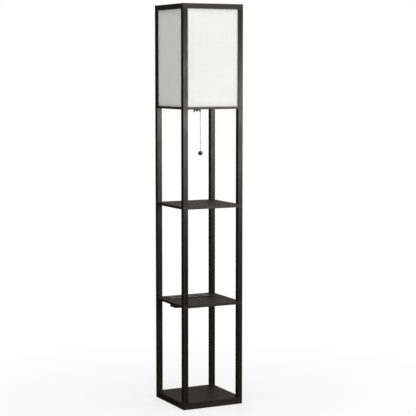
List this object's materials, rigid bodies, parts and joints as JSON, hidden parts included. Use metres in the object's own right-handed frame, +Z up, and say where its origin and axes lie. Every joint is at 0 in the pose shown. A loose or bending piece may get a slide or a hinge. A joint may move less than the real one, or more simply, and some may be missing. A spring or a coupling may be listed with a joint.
{
  "type": "shelf floor lamp",
  "caption": "Square tower floor lamp: open shelves on corner posts, a fabric-panelled light box on top, a pull-chain switch and a charging module in the lower shelf.",
  "frame": {"origin": "centre of the base's underside, on the floor", "axes": "+Z up along the tower, -Y towards the front where the pull chain hangs, +X to the lamp's right seen from the front"},
  "size_m": [0.26, 0.26, 1.5875],
  "materials": {
    "painted_timber": "near-black satin paint over a faint grain",
    "shade_cloth": "off-white laminated linen weave",
    "zinc_steel": "zinc plated",
    "bare_beech": "bare beech",
    "black_steel": "satin black",
    "black_phenolic": "moulded black phenolic",
    "brass": "bright",
    "nickel": "nickel plated",
    "black_ball": "glossy black",
    "bulb_metal": "rolled thread",
    "opal_diffuser": "opal white",
    "module_plastic": "semi-gloss black",
    "housing_plastic": "fine texture",
    "insert_plastic": "smooth black",
    "port_plastic": "smooth white",
    "circuit_board": "solder mask"
  },
  "bodies": {
    "lamp": {"base_board": "painted_timber", "base_bolts": "zinc_steel", "bottom_post_front_left": "painted_timber", "bottom_post_front_right": "painted_timber", "bottom_post_rear_left": "painted_timber", "bottom_post_rear_right": "painted_timber", "bulb_cap": "bulb_metal", "bulb_globe": "opal_diffuser", "centre_contact": "brass", "chain_guide": "nickel", "charging_board": "circuit_board", "charging_deck": "module_plastic", "charging_housing": "housing_plastic", "cord_bushing": "housing_plastic", "frame_dowels": "bare_beech", "housing_screws": "zinc_steel", "lamp_nipple": "zinc_steel", "lower_post_front_left": "painted_timber", "lower_post_front_right": "painted_timber", "lower_post_rear_left": "painted_timber", "lower_post_rear_right": "painted_timber", "lower_shelf": "painted_timber", "middle_shelf": "painted_timber", "outlet_insert": "insert_plastic", "post_studs": "zinc_steel", "screw_shell": "brass", "shade_panel_front": "shade_cloth", "shade_panel_left": "shade_cloth", "shade_panel_rear": "shade_cloth", "shade_panel_right": "shade_cloth", "shade_post_front_left": "painted_timber", "shade_post_front_right": "painted_timber", "shade_post_rear_left": "painted_timber", "shade_post_rear_right": "painted_timber", "shade_ring_front": "painted_timber", "shade_ring_left": "painted_timber", "shade_ring_rear": "painted_timber", "shade_ring_right": "painted_timber", "socket_cap": "black_phenolic", "socket_core": "black_phenolic", "socket_shell": "black_phenolic", "socket_strap": "black_steel", "strap_screws": "black_steel", "switch_arm": "black_phenolic", "top_rail_front": "painted_timber", "top_rail_left": "painted_timber", "top_rail_rear": "painted_timber", "top_rail_right": "painted_timber", "upper_post_front_left": "painted_timber", "upper_post_front_right": "painted_timber", "upper_post_rear_left": "painted_timber", "upper_post_rear_right": "painted_timber", "usb_insert": "insert_plastic", "usb_tongues": "port_plastic", "wing_nut": "black_steel"},
    "pull": {"chain_anchor": "nickel"},
    "swivel": {"swivel_bead": "nickel"},
    "chain": {"bead_chain": "nickel"},
    "ball": {"ball_knob": "black_ball"}
  },
  "joints": [
    {"name": "chain_pull", "type": "slide", "parent": "lamp", "child": "pull", "axis": [0, 0, -1], "range_m": [0, 0.008], "stiffness_N_per_m": 500, "springref_m": -0.004},
    {"name": "chain_swing_side", "type": "hinge", "parent": "pull", "child": "swivel", "pos_m": [0, -0.016, 1.196], "axis": [0, 1, 0], "range_deg": [-25, 25]},
    {"name": "chain_swing_fore", "type": "hinge", "parent": "swivel", "child": "chain", "pos_m": [0, -0.016, 1.196], "axis": [1, 0, 0], "range_deg": [-25, 25]},
    {"name": "ball_spin", "type": "hinge", "parent": "chain", "child": "ball", "pos_m": [0, -0.016, 1.0032], "axis": [0, 0, 1], "continuous": true}
  ]
}
